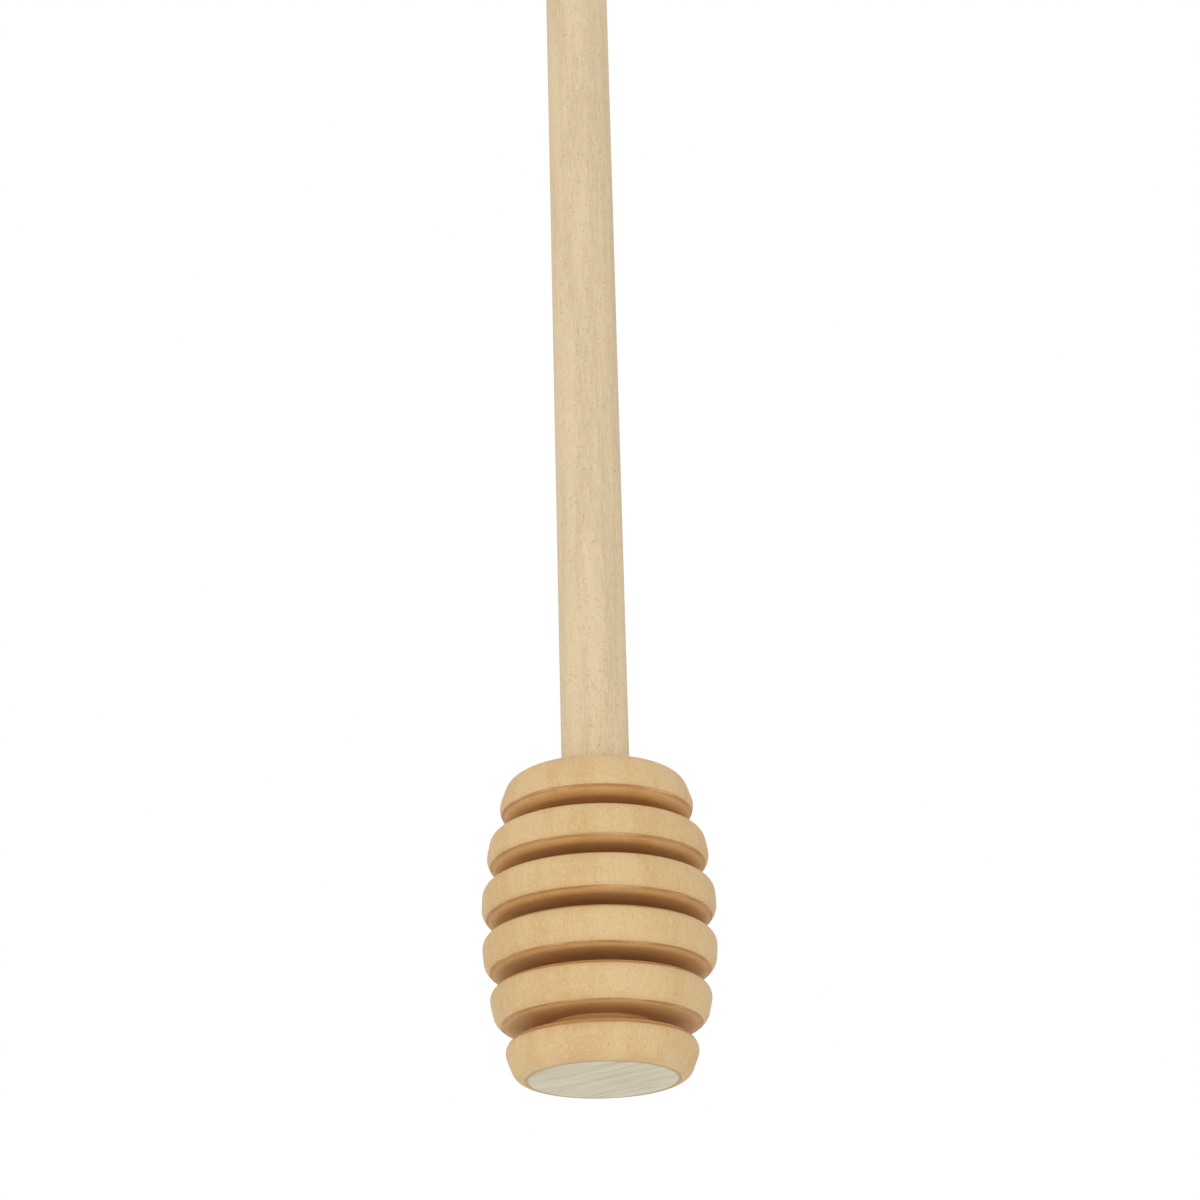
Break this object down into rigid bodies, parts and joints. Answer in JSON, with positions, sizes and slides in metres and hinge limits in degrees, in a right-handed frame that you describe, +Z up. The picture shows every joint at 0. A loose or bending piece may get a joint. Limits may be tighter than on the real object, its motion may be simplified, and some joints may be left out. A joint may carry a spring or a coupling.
{
  "type": "honey dipper",
  "caption": "Wooden honey dipper with a barrel-shaped ribbed head, a flat end and a plain round handle, standing on the flat end of its head.",
  "frame": {"origin": "centre of the flat end of the head, on which the dipper stands", "axes": "+Z up along the turning axis, from the flat end of the head to the free end of the handle; the part is the same all round, so +X and +Y are free"},
  "size_m": [0.027, 0.027, 0.16],
  "materials": {
    "head_wood": "matte, bare turned hardwood",
    "handle_wood": "matte, bare turned wood",
    "glue": "set wood glue"
  },
  "bodies": {
    "root": {"head": "head_wood", "handle": "handle_wood", "glue_bond": "glue"}
  },
  "joints": []
}
